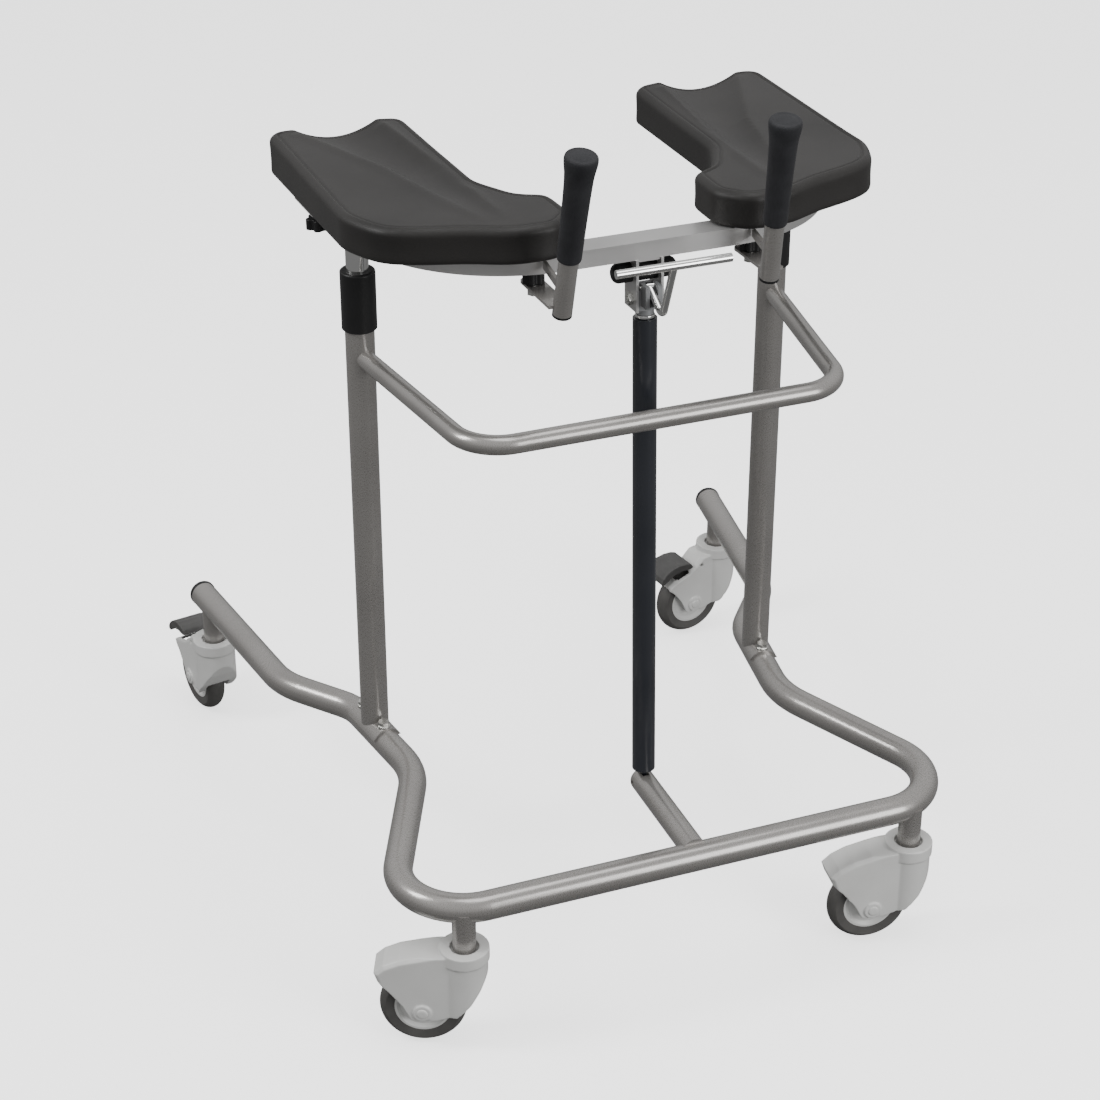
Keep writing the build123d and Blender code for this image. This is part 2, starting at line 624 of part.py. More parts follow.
# =============================================================== arm pads
BACK = Plane(
    origin=TOP.from_local_coords(Vector(0, TOP_REAR, 0)),
    x_dir=(1, 0, 0),
    z_dir=(0, -cos(TILT), sin(TILT)),
)
BESIDE = Plane(origin=TOP.origin, x_dir=(0, cos(TILT), -sin(TILT)), z_dir=(1, 0, 0))
SEAT = BAR_HIGH / 2
FAR = 3 * ARM_X
for name, side in SIDES.items():
    outline = [(side * x, y) for x, y in PAD_OUTLINE]
    with BuildSketch() as pad_plan:
        with BuildLine() as pad_edge:
            Polyline(*outline, close=True)
            for point, radius in zip(outline, PAD_ROUNDS):
                fillet(pad_edge.vertices().sort_by_distance(Vector(*point, 0))[0], radius)
        make_face()
    with BuildPart() as pad_plate:
        with BuildSketch(TOP.offset(SEAT + 2 * FIT)):
            add(pad_plan.sketch)
            offset(amount=-PLATE_INSET, kind=Kind.INTERSECTION)
            for spot in (PAD_PIVOT, PAD_KNOB):
                with Locations((side * spot[0], spot[1])):
                    Circle(9)
            for spot in (PAD_PIVOT, PAD_KNOB):
                with Locations((side * spot[0], spot[1])):
                    Circle(FOOT_BOLT_D / 2 + FIT, mode=Mode.SUBTRACT)
        extrude(amount=PLATE_T)
    publish(pad_plate, "pad_plate_" + name)

    with BuildPart() as arm_pad:
        with BuildSketch(TOP.offset(SEAT + SOFT_GAP)):
            add(pad_plan.sketch)
        extrude(amount=PAD_REAR_H)
        with BuildSketch(BESIDE):
            with BuildLine():
                Polyline(
                    (TOP_REAR, SEAT + PAD_REAR_H),
                    (TOP_KNEE, SEAT + PAD_FRONT_H),
                    (-TOP_KNEE, SEAT + PAD_FRONT_H),
                    (-TOP_KNEE, SEAT + 3 * PAD_REAR_H),
                    (TOP_REAR, SEAT + 3 * PAD_REAR_H),
                    close=True,
                )
            make_face()
        extrude(amount=FAR, both=True, mode=Mode.SUBTRACT)
        for spot in (PAD_PIVOT, PAD_KNOB):
            with BuildSketch(TOP.offset(SEAT)):
                with Locations((side * spot[0], spot[1])):
                    Circle(9 + SOFT_GAP)
            extrude(amount=PLATE_T + 2 * SOFT_GAP, mode=Mode.SUBTRACT)
        with BuildSketch(TOP.offset(SEAT)):
            add(pad_plan.sketch)
            offset(amount=-PLATE_INSET + SOFT_GAP, kind=Kind.INTERSECTION)
        extrude(amount=PLATE_T + 2 * SOFT_GAP, mode=Mode.SUBTRACT)
        top_faces = arm_pad.faces().filter_by(
            lambda f: TOP.to_local_coords(f.center()).Z > SEAT + PAD_FRONT_H - 2
        )
        crest = top_faces.edges().filter_by(
            lambda e: abs(TOP.to_local_coords(e.center()).Y - TOP_KNEE) > 1
        )
        chamfer(crest, PAD_EDGE_R / 2)
        with BuildSketch(BACK) as trough_rear:
            with Locations((side * TROUGH_X, TROUGH_R_REAR - TROUGH_DEEP + SEAT + PAD_REAR_H)):
                Circle(TROUGH_R_REAR)
        with BuildSketch(BACK.offset(TOP_REAR - 20)) as trough_front:
            with Locations((side * (TROUGH_X - TROUGH_DRIFT), TROUGH_R_FRONT + SEAT + PAD_FRONT_H)):
                Circle(TROUGH_R_FRONT)
        loft(mode=Mode.SUBTRACT)
    publish(arm_pad, "arm_pad_" + name)

    with BuildPart() as pad_knob:
        with BuildSketch(TOP.offset(SEAT - LUG_T - 6)):
            with Locations((side * PAD_KNOB[0], PAD_KNOB[1])):
                Circle(12.5)
                with PolarLocations(12.0, 6):
                    Circle(5.0)
        extrude(amount=-13)
        with BuildSketch(TOP.offset(SEAT - LUG_T - 0.4)):
            with Locations((side * PAD_KNOB[0], PAD_KNOB[1])):
                Circle(8)
        extrude(amount=-6)
        with BuildSketch(TOP.offset(SEAT + PLATE_T - 1)):
            with Locations((side * PAD_KNOB[0], PAD_KNOB[1])):
                Circle(FOOT_BOLT_D / 2)
        extrude(amount=-LUG_T - PLATE_T)
    publish(pad_knob, "pad_knob_" + name)

# =============================================================== handles
for name, side in SIDES.items():
    lean, inward, forward = HANDLE_SET[name]
    axis_dir = Vector(-side * sin(radians(inward)), -sin(radians(lean)), cos(radians(lean)))
    axis_dir = axis_dir.normalized()
    foot_at = world(side * HANDLE_FOOT[0], HANDLE_FOOT[1] + forward, HANDLE_FOOT[2])
    shaft = Plane(origin=foot_at, x_dir=(1, 0, 0), z_dir=axis_dir)
    upright = Plane(origin=foot_at, x_dir=shaft.x_dir, z_dir=-shaft.y_dir)
    tube_v = TOP.to_local_coords(foot_at + axis_dir * 7).Y
    with BuildPart() as handle:
        with BuildSketch(TOP.offset(CLAMP_PLATE_TOP)):
            with Locations((side * (CLAMP_X - 1.5), (tube_v + PLATE_REAR) / 2)):
                Rectangle(CLAMP_PLATE_W, PLATE_REAR - tube_v)
        extrude(amount=-CLAMP_PLATE_T)
        fillet(handle.edges().filter_by(Axis.Z, tolerance=5).sort_by(Axis.Y)[-2:], 8)
        with BuildSketch(BESIDE.offset(side * HANDLE_FOOT[0] - BRACE_T / 2)):
            with BuildLine():
                Polyline(
                    (tube_v, -14), (tube_v, -3), (BRACE_END, 7), (BRACE_END, -2), close=True
                )
            make_face()
        extrude(amount=BRACE_T)
        with BuildSketch(shaft):
            Circle(HANDLE_D / 2)
        extrude(amount=HANDLE_LEN)
        with BuildSketch(shaft):
            Circle(HANDLE_D / 2 - HANDLE_WALL)
        extrude(amount=HANDLE_LEN, mode=Mode.SUBTRACT)
        with BuildSketch(TOP.offset(CLAMP_PLATE_TOP)):
            with Locations((side * CLAMP_X, 0)):
                SlotOverall(CLAMP_SLOT, CLAMP_BOLT_D + 1.0, rotation=90)
        extrude(amount=-CLAMP_PLATE_T, mode=Mode.SUBTRACT)
    publish(handle, "handle_" + name)

    with BuildPart() as handle_cap:
        with BuildSketch(shaft):
            Circle(HANDLE_D / 2)
        extrude(amount=-3)
        with BuildSketch(shaft):
            Circle(HANDLE_D / 2 - HANDLE_WALL - FIT)
        extrude(amount=12)
    publish(handle_cap, "handle_cap_" + name)

    with BuildPart() as grip:
        with BuildSketch(upright):
            with BuildLine():
                Polyline(
                    (0, GRIP_FROM),
                    (12.6, GRIP_FROM),
                    (13.8, GRIP_FROM + 2),
                    (14.4, GRIP_FROM + 50),
                    (15.6, GRIP_FROM + 100),
                    (17.2, GRIP_FROM + 112),
                    (18.5, GRIP_FROM + 119),
                    (18.5, GRIP_FROM + 125),
                    (16.5, GRIP_FROM + 128),
                    (0, GRIP_FROM + 129.5),
                    close=True,
                )
            make_face()
        revolve(axis=Axis(foot_at, axis_dir))
        with BuildSketch(shaft):
            Circle(HANDLE_D / 2 + FIT)
        extrude(amount=HANDLE_LEN + 2 * FIT, mode=Mode.SUBTRACT)
    publish(grip, "grip_" + name)

    with BuildPart() as handle_knob:
        with BuildSketch(TOP.offset(-SEAT - 1)):
            with Locations((side * CLAMP_X, 0)):
                Circle(CLAMP_KNOB_D / 2 - 3)
                with PolarLocations(CLAMP_KNOB_D / 2 - 4, 6):
                    Circle(4)
        extrude(amount=CLAMP_PLATE_TOP + SEAT + 1.3)
        with BuildSketch(TOP):
            with Locations((side * CLAMP_X, 0)):
                Circle(CLAMP_BOLT_D / 2 + 2 * FIT)
        extrude(amount=-4 * BAR_HIGH, mode=Mode.SUBTRACT)
    publish(handle_knob, "handle_knob_" + name)

# =============================================================== casters
AXLE_AT = (TRAIL, WHEEL_D / 2)
for name, (x, y, heading) in CASTERS.items():
    away = (cos(radians(heading)), sin(radians(heading)), 0)
    post = Plane(origin=world(x, y, 0), x_dir=away, z_dir=(0, 0, 1))
    side_on = Plane(origin=post.origin, x_dir=away, z_dir=-post.y_dir)
    braked = name.startswith("rear")
    half_w = REAR_HALF_W if braked else FORK_HALF_W
    with BuildPart() as fork:
        with BuildSketch(side_on):
            with BuildLine():
                Polyline(*FORK_BACK, *(REAR_HOOD if braked else FRONT_HOOD), close=True)
            make_face()
        extrude(amount=NECK_D / 2, both=True)
        with BuildSketch(post):
            Circle(NECK_D / 2)
            with Locations((WHEEL_D / 2, 0)):
                Rectangle(WHEEL_D * 1.2, 2 * half_w)
        extrude(amount=FORK_TOP, mode=Mode.INTERSECT)
        crown = fork.edges().filter_by(
            lambda e: abs(abs(post.to_local_coords(e.center()).Y) - half_w) < 0.1
            and e.center().Z > CROWN_FROM and post.to_local_coords(e.center()).X > 42
        )
        chamfer(crown, 4.0)
        with BuildSketch(side_on):
            with Locations(AXLE_AT):
                Circle(11)
        extrude(amount=half_w + 2.5, both=True)
        with BuildSketch(Plane(origin=post.origin + Vector(0, 0, RING_BOTTOM))):
            Circle(RING_D / 2)
        extrude(amount=FORK_TOP - RING_BOTTOM)
        with BuildSketch(side_on):
            with Locations(AXLE_AT):
                Circle(ARCH_R)
            if not braked:
                with BuildLine():
                    Polyline(*NOSE_HOLLOW, close=True)
                make_face()
        extrude(amount=ARCH_HALF_W, both=True, mode=Mode.SUBTRACT)
        with BuildSketch(Plane(origin=post.origin + Vector(0, 0, FORK_TOP - 5))):
            Circle(17)
        extrude(amount=10, mode=Mode.SUBTRACT)
        with BuildSketch(Plane(origin=post.origin + Vector(0, 0, STEM_BOTTOM - 1))):
            Circle(STEM_D / 2 + 2 * FIT)
        extrude(amount=40, mode=Mode.SUBTRACT)
        with BuildSketch(side_on):
            with Locations(AXLE_AT):
                Circle(AXLE_D / 2 + FIT)
            if braked:
                with Locations(PEDAL_PIVOT):
                    Circle(PEDAL_PIN_D / 2 + FIT)
        extrude(amount=2 * FORK_HALF_W, both=True, mode=Mode.SUBTRACT)
    publish(fork, "fork_" + name)

    with BuildPart() as axle:
        with BuildSketch(side_on):
            with Locations(AXLE_AT):
                Circle(AXLE_D / 2)
        extrude(amount=half_w + 2, both=True)
    publish(axle, "axle_" + name)

    spin = Axis(post.origin + Vector(*away) * TRAIL + Vector(0, 0, WHEEL_D / 2), post.y_dir)
    section = Plane(origin=spin.position, x_dir=(0, 0, 1), z_dir=away)
    with BuildPart() as hub:
        with BuildSketch(section):
            with BuildLine():
                Polyline(
                    (AXLE_D / 2 + 2 * FIT, -15.5), (12, -15.5), (13, -9), (27, -7), (31, -10.5),
                    (HUB_D / 2, -10.5), (HUB_D / 2, 10.5), (31, 10.5), (27, 7), (13, 9),
                    (12, 15.5), (AXLE_D / 2 + 2 * FIT, 15.5), close=True,
                )
            make_face()
        revolve(axis=spin)
    publish(hub, "hub_" + name)

    with BuildPart() as tyre:
        with BuildSketch(section):
            with BuildLine():
                Polyline(
                    (TREAD_EDGE, -WHEEL_W / 2), (HUB_D / 2 + FIT, -11), (HUB_D / 2 + FIT, 11),
                    (TREAD_EDGE, WHEEL_W / 2),
                )
                ThreePointArc(
                    (TREAD_EDGE, WHEEL_W / 2), (WHEEL_D / 2, 0), (TREAD_EDGE, -WHEEL_W / 2)
                )
            make_face()
        revolve(axis=spin)
    publish(tyre, "tyre_" + name)

    if braked:
        with BuildPart() as brake_pedal:
            with BuildSketch(side_on):
                with BuildLine():
                    Polyline(*PEDAL_TOP, *PEDAL_UNDER, close=True)
                make_face()
            extrude(amount=PEDAL_HALF_W, both=True)
            for cheek in (-1, 1):
                with BuildSketch(side_on.offset(cheek * PEDAL_EAR_IN)):
                    with BuildLine():
                        Polyline(*PEDAL_EAR, close=True)
                    make_face()
                extrude(amount=cheek * (PEDAL_HALF_W - PEDAL_EAR_IN))
            with BuildSketch(side_on):
                with Locations(PEDAL_PIVOT):
                    Circle(PEDAL_PIN_D / 2)
            extrude(amount=PEDAL_HALF_W, both=True)
        publish(brake_pedal, "brake_pedal_" + name.split("_")[1])
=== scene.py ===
import json
import math

import bmesh
import bpy
import numpy as np
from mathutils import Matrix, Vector, kdtree
from mathutils.geometry import delaunay_2d_cdt


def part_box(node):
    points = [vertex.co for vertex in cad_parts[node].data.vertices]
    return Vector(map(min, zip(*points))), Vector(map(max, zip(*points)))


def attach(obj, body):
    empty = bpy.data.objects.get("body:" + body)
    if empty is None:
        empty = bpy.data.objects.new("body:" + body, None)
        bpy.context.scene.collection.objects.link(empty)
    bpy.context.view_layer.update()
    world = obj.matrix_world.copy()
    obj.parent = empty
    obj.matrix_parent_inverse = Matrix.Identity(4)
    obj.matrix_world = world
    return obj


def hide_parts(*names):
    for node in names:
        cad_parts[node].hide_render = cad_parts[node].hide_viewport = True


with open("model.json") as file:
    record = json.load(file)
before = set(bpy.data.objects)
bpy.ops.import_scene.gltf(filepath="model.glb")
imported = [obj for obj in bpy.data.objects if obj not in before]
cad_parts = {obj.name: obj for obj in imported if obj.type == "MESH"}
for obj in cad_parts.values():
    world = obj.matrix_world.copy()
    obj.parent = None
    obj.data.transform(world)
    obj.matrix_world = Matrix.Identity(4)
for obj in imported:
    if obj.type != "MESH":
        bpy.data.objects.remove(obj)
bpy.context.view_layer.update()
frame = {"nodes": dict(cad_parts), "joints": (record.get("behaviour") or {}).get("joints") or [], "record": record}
nodes = frame["nodes"]
body_of_node = {n: b for b, ns in frame["record"]["behaviour"]["bodies"].items() for n in ns}
slot_of_node = {s["node"]: s["material_slot"] for s in frame["record"]["subparts"]}
joints = {j["name"]: j for j in frame["joints"]}
MM = 0.001
SIDES = {"left": -1, "right": 1}
CORNERS = ("front_left", "front_right", "rear_left", "rear_right")


# ------------------------------------------------------------------ materials
def wire(tree, a, b):
    tree.links.new(a, b)


def surface(name, dark, light, rough, spread=0.06, metallic=0.0, grain=900.0, bump=0.05,
            mottle=14.0, coat=0.0, coat_rough=0.2, sheen=0.0, fine=None, specular=0.5):
    """Procedural finish: broad colour mottle, roughness variation and a fine surface grain."""
    mat = bpy.data.materials.new(name)
    mat.use_nodes = True
    tree = mat.node_tree
    shader = tree.nodes["Principled BSDF"]
    shader.inputs["Metallic"].default_value = metallic
    shader.inputs["Coat Weight"].default_value = coat
    shader.inputs["Coat Roughness"].default_value = coat_rough
    shader.inputs["Sheen Weight"].default_value = sheen
    shader.inputs["Specular IOR Level"].default_value = specular
    place = tree.nodes.new("ShaderNodeTexCoord")
    space = place.outputs["Object"]
    broad = tree.nodes.new("ShaderNodeTexNoise")
    broad.inputs["Scale"].default_value = mottle
    broad.inputs["Detail"].default_value = 6.0
    wire(tree, space, broad.inputs["Vector"])
    ramp = tree.nodes.new("ShaderNodeValToRGB")
    ramp.color_ramp.elements[0].position = 0.3
    ramp.color_ramp.elements[0].color = (*dark, 1)
    ramp.color_ramp.elements[1].position = 0.7
    ramp.color_ramp.elements[1].color = (*light, 1)
    wire(tree, broad.outputs["Fac"], ramp.inputs["Fac"])
    wire(tree, ramp.outputs["Color"], shader.inputs["Base Color"])
    speck = tree.nodes.new("ShaderNodeTexNoise")
    speck.inputs["Scale"].default_value = grain
    speck.inputs["Detail"].default_value = 3.0
    wire(tree, space, speck.inputs["Vector"])
    gloss = tree.nodes.new("ShaderNodeMapRange")
    gloss.inputs["To Min"].default_value = max(0.02, rough - spread)
    gloss.inputs["To Max"].default_value = min(1.0, rough + spread)
    wire(tree, speck.outputs["Fac"], gloss.inputs["Value"])
    wire(tree, gloss.outputs["Result"], shader.inputs["Roughness"])
    height = speck.outputs["Fac"]
    if fine:
        cells = tree.nodes.new("ShaderNodeTexVoronoi")
        cells.feature = "DISTANCE_TO_EDGE"
        cells.inputs["Scale"].default_value = fine
        wire(tree, space, cells.inputs["Vector"])
        both = tree.nodes.new("ShaderNodeMath")
        both.operation = "ADD"
        wire(tree, cells.outputs["Distance"], both.inputs[0])
        wire(tree, speck.outputs["Fac"], both.inputs[1])
        height = both.outputs["Value"]
    relief = tree.nodes.new("ShaderNodeBump")
    relief.inputs["Strength"].default_value = bump
    relief.inputs["Distance"].default_value = 0.0004
    wire(tree, height, relief.inputs["Height"])
    wire(tree, relief.outputs["Normal"], shader.inputs["Normal"])
    return mat


FINISH = {
    "silver_coat": surface("silver_coat", (0.28, 0.268, 0.256), (0.32, 0.307, 0.294), 0.28, metallic=0.6,
                           grain=1800, bump=0.04, coat=0.6, coat_rough=0.07),
    "bar_silver": surface("bar_silver", (0.46, 0.455, 0.45), (0.52, 0.515, 0.51), 0.36, metallic=0.65,
                          grain=1500, bump=0.04, coat=0.3),
    "black_plastic": surface("black_plastic", (0.009, 0.009, 0.0095), (0.014, 0.014, 0.0145), 0.42,
                             grain=1400, bump=0.18, specular=0.3),
    "black_coat": surface("black_coat", (0.012, 0.014, 0.019), (0.018, 0.020, 0.026), 0.3,
                          grain=1200, bump=0.03, coat=0.4),
    "chrome": surface("chrome", (0.72, 0.72, 0.71), (0.78, 0.78, 0.77), 0.1, spread=0.03, metallic=1.0,
                      grain=500, bump=0.01),
    "zinc": surface("zinc", (0.55, 0.55, 0.53), (0.66, 0.66, 0.63), 0.27, metallic=1.0,
                    grain=700, bump=0.06, mottle=60),
    "cast_grey": surface("cast_grey", (0.2, 0.205, 0.21), (0.28, 0.285, 0.29), 0.5, metallic=0.55,
                         grain=1100, bump=0.25, mottle=80),
    "plate_black": surface("plate_black", (0.02, 0.02, 0.021), (0.032, 0.032, 0.033), 0.5,
                           grain=900, bump=0.1),
    "pad_skin": surface("pad_skin", (0.012, 0.0112, 0.0106), (0.020, 0.0186, 0.0176), 0.48, spread=0.08,
                        grain=1300, bump=0.32, mottle=9, sheen=0.03, fine=620, specular=0.3),
    "grip_foam": surface("grip_foam", (0.013, 0.0133, 0.0155), (0.021, 0.0215, 0.0245), 0.68,
                         grain=2200, bump=0.5, mottle=50, sheen=0.04, fine=1500, specular=0.25),
    "caster_grey": surface("caster_grey", (0.60, 0.60, 0.585), (0.66, 0.66, 0.645), 0.34,
                           grain=1000, bump=0.06, mottle=20),
    "tyre_grey": surface("tyre_grey", (0.068, 0.066, 0.063), (0.092, 0.089, 0.085), 0.55,
                         grain=800, bump=0.14, mottle=45),
    "pedal_grey": surface("pedal_grey", (0.05, 0.049, 0.048), (0.07, 0.069, 0.067), 0.5,
                          grain=1000, bump=0.2, mottle=40),
}


def finish(obj, slot):
    obj.data.materials.clear()
    obj.data.materials.append(FINISH[slot])


for name, obj in nodes.items():
    finish(obj, slot_of_node[name])


# ------------------------------------------------------------------ helpers
def piece(name, mesh, body, slot, stands_for=None):
    """A finished mesh becomes a shown piece on its body."""
    mesh.name = name
    obj = bpy.data.objects.new(name, mesh)
    bpy.context.scene.collection.objects.link(obj)
    finish(obj, slot)
    for poly in obj.data.polygons:
        poly.use_smooth = True
    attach(obj, body)
    if stands_for:
        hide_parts(stands_for)
    return obj


def softened(data, voxel, passes):
    """A mesh remeshed and relaxed so that its edges round over. It fuses overlapping closed forms."""
    source = bpy.data.objects.new("source", data)
    bpy.context.scene.collection.objects.link(source)
    remesh = source.modifiers.new("remesh", "REMESH")
    remesh.mode = "VOXEL"
    remesh.voxel_size = voxel
    relax = source.modifiers.new("relax", "SMOOTH")
    relax.factor = 0.5
    relax.iterations = passes
    bpy.context.view_layer.update()
    graph = bpy.context.evaluated_depsgraph_get()
    made = bpy.data.meshes.new_from_object(source.evaluated_get(graph))
    bpy.data.objects.remove(source)
    return made


def moulded(node, voxel, passes):
    """A cast or moulded CAD part with its edges rounded over."""
    made = softened(nodes[node].data.copy(), voxel, passes)
    return piece(node + "_moulded", made, body_of_node[node], slot_of_node[node], node)


def turned(mesh, start, axis, line, around=48):
    """Adds a turned form to a bmesh. Its line is (distance along the axis, radius), ending on the axis."""
    across = axis.orthogonal().normalized()
    other = axis.cross(across)
    rings = []
    for up, radius in line[:-1]:
        ring = []
        for k in range(around):
            a = 2 * math.pi * k / around
            rim = (across * math.cos(a) + other * math.sin(a)) * radius * MM
            ring.append(mesh.verts.new(start + axis * up * MM + rim))
        rings.append(ring)
    for low, high in zip(rings, rings[1:]):
        for k in range(around):
            j = (k + 1) % around
            mesh.faces.new((low[k], low[j], high[j], high[k]))
    tip = mesh.verts.new(start + axis * line[-1][0] * MM)
    for k in range(around):
        mesh.faces.new((rings[-1][k], rings[-1][(k + 1) % around], tip))


def closed(mesh, name):
    """Mesh data from a bmesh, with its normals facing out."""
    bmesh.ops.recalc_face_normals(mesh, faces=mesh.faces)
    data = bpy.data.meshes.new(name)
    mesh.to_mesh(data)
    mesh.free()
    return data


def subdivided(obj):
    level = obj.modifiers.new("round", "SUBSURF")
    level.levels = 1
    level.render_levels = 1


# ------------------------------------------------------------------ arm pads
PAD_OUTLINE = [
    (150, 390), (321, 390), (321, 84), (297, 25), (254, 4),
    (210, -10), (166, -35), (112, -35), (84, -2), (86, 64), (118, 80), (145, 140),
]
PAD_ROUNDS = [18, 22, 60, 38, 60, 60, 40, 24, 26, 14, 24, 60]
SEAT = 10.25
FRONT_H, REAR_H, KNEE, REAR_V = 42.0, 49.0, 130.0, 420.0
EDGE_R = 9.0
RIM = 13.5
BEAD, GROOVE = 7.8, 11.2
UNDER_R, UNDER_LIFT = 5.0, 0.4
TROUGH_DEEP = 15.0
RIDGE = ([-40, 20, 190, 420], [160, 160, 165, 188])
VALLEY = ([-40, 20, 115, 220, 370, 420], [176, 184, 205, 228, 284, 300])

pad_up = Vector(joints["pad_swing_left"]["axis"])
pad_back = Vector(joints["handle_slide_left"]["axis"])
plate_under = 24.8 * MM
pad_origin = Vector(joints["handle_slide_left"]["pos_m"]) + pad_up * plate_under
pad_origin.x = 0.0


def rounded(points, radii, step):
    """A closed outline with each corner turned on its own radius, points about a step apart."""
    out = []
    for i, corner in enumerate(points):
        here = Vector(corner)
        a = (Vector(points[i - 1]) - here).normalized()
        b = (Vector(points[(i + 1) % len(points)]) - here).normalized()
        half = math.acos(max(-1, min(1, a.dot(b)))) / 2
        reach = radii[i] / math.tan(half)
        middle = here + (a + b).normalized() * (radii[i] / math.sin(half))
        start, stop = here + a * reach - middle, here + b * reach - middle
        first = math.atan2(start.y, start.x)
        turn = (math.atan2(stop.y, stop.x) - first + math.pi) % (2 * math.pi) - math.pi
        count = max(3, round(abs(turn) * radii[i] / step))
        for k in range(count + 1):
            angle = first + turn * k / count
            out.append(middle + Vector((math.cos(angle), math.sin(angle))) * radii[i])
    return out


def resampled(points, step):
    """The same closed line with evenly spaced points."""
    loop = np.array([tuple(p) for p in points + points[:1]])
    run = np.concatenate([[0], np.cumsum(np.linalg.norm(np.diff(loop, axis=0), axis=1))])
    want = np.linspace(0, run[-1], int(run[-1] / step) + 1)[:-1]
    return np.stack([np.interp(want, run, loop[:, 0]), np.interp(want, run, loop[:, 1])], 1)


def eased(edge):
    """Relaxes the outline's corners, strongly round the front and lightly at the inner end."""
    for step in range(44):
        mean = (np.roll(edge, 1, 0) + 2 * edge + np.roll(edge, -1, 0)) / 4
        share = soft_step((105 - edge[:, 1]) / 45.0) * (edge[:, 0] > 150)
        inner = 0.75 * (edge[:, 0] <= 150) * (edge[:, 1] < 200) * (step < 16)
        share = np.maximum(share, inner)[:, None]
        edge = edge * (1 - share) + mean * share
    return edge


def soft_step(x):
    x = np.clip(x, 0, 1)
    return x * x * (3 - 2 * x)


def hump(off, width):
    """A rounded hump one unit high."""
    return np.exp(-((off / width) ** 2))


def crown(x, v, inset):
    """Height of the moulded top above the seat plane: knee, arm trough, ridge and rim bead."""
    slope = (REAR_H - FRONT_H) / (REAR_V - KNEE)
    rise = slope * 0.5 * ((v - KNEE) + np.sqrt((v - KNEE) ** 2 + 400.0))
    ridge = np.interp(v, *RIDGE)
    valley = np.interp(v, *VALLEY)
    share = (x - ridge) / (valley - ridge)
    bowl = np.maximum(4 * share * (1 - share), 0)
    deep = TROUGH_DEEP * soft_step((v - 5) / 400.0) ** 0.8
    shoulder = 0.09 * np.maximum(0, ridge - x) * soft_step((v - 90) / 200.0)
    dish = 1.6 * np.exp(-(((x - 262) / 40.0) ** 2 + ((v - 120) / 90.0) ** 2))
    bead = 0.7 * hump(inset - BEAD, 2.4) - 1.5 * hump(inset - GROOVE, 1.3)
    inside = soft_step((inset - 16) / 14.0) * soft_step((v + 5) / 60.0)
    crest = inside * (2.2 * hump(x - ridge, 9.0) + 1.4 * hump(x - valley - 3, 10.0))
    edge = np.where(inset < EDGE_R, EDGE_R - np.sqrt(np.maximum(0, EDGE_R**2 - (EDGE_R - inset) ** 2)), 0)
    return FRONT_H + rise - bowl * deep - shoulder - dish + crest + bead - edge


